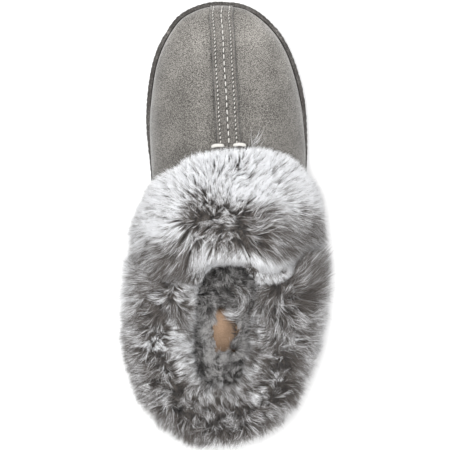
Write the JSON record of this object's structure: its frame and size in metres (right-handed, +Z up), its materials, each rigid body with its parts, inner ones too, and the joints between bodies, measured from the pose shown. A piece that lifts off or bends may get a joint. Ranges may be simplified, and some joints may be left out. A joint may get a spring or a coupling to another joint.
{
  "type": "house slipper",
  "caption": "Slip-on house slipper for the right foot: suede vamp with a stitched centre strip, deep frosted faux-fur cuff, plush footbed and a rubber cup sole.",
  "frame": {"origin": "bottom centre of the whole slipper: on the ground plane, midway along and across its outer size", "axes": "+Z up, +Y towards the toe, +X towards the lateral side of the right foot"},
  "size_m": [0.1309, 0.2698, 0.0937],
  "materials": {
    "charcoal_rubber": "matt, finely knurled",
    "foam": "matt foam",
    "fibre_board": "matt fibre",
    "dark_pile": "dark grey plush pile",
    "tan_suede": "matt suede",
    "grey_suede": "matt suede with a mottled nap",
    "strip_suede": "matt suede, folded edges",
    "cream_thread": "twisted thread",
    "frosted_fur": "long pile, grey-brown roots and white tips"
  },
  "bodies": {
    "root": {"outsole": "charcoal_rubber", "midsole": "foam", "insole_board": "fibre_board", "footbed_foam": "foam", "footbed_cover": "dark_pile", "heel_patch": "tan_suede", "vamp_medial": "grey_suede", "vamp_lateral": "grey_suede", "quarter_medial": "grey_suede", "quarter_lateral": "grey_suede", "centre_strip": "strip_suede", "stitch_row_medial": "cream_thread", "stitch_row_centre": "cream_thread", "stitch_row_lateral": "cream_thread", "bar_tack_medial": "cream_thread", "bar_tack_lateral": "cream_thread", "toe_puff": "fibre_board", "heel_counter": "fibre_board", "vamp_lining": "dark_pile", "quarter_lining": "dark_pile", "cuff_front": "frosted_fur", "cuff_side_heel": "frosted_fur"}
  },
  "joints": []
}
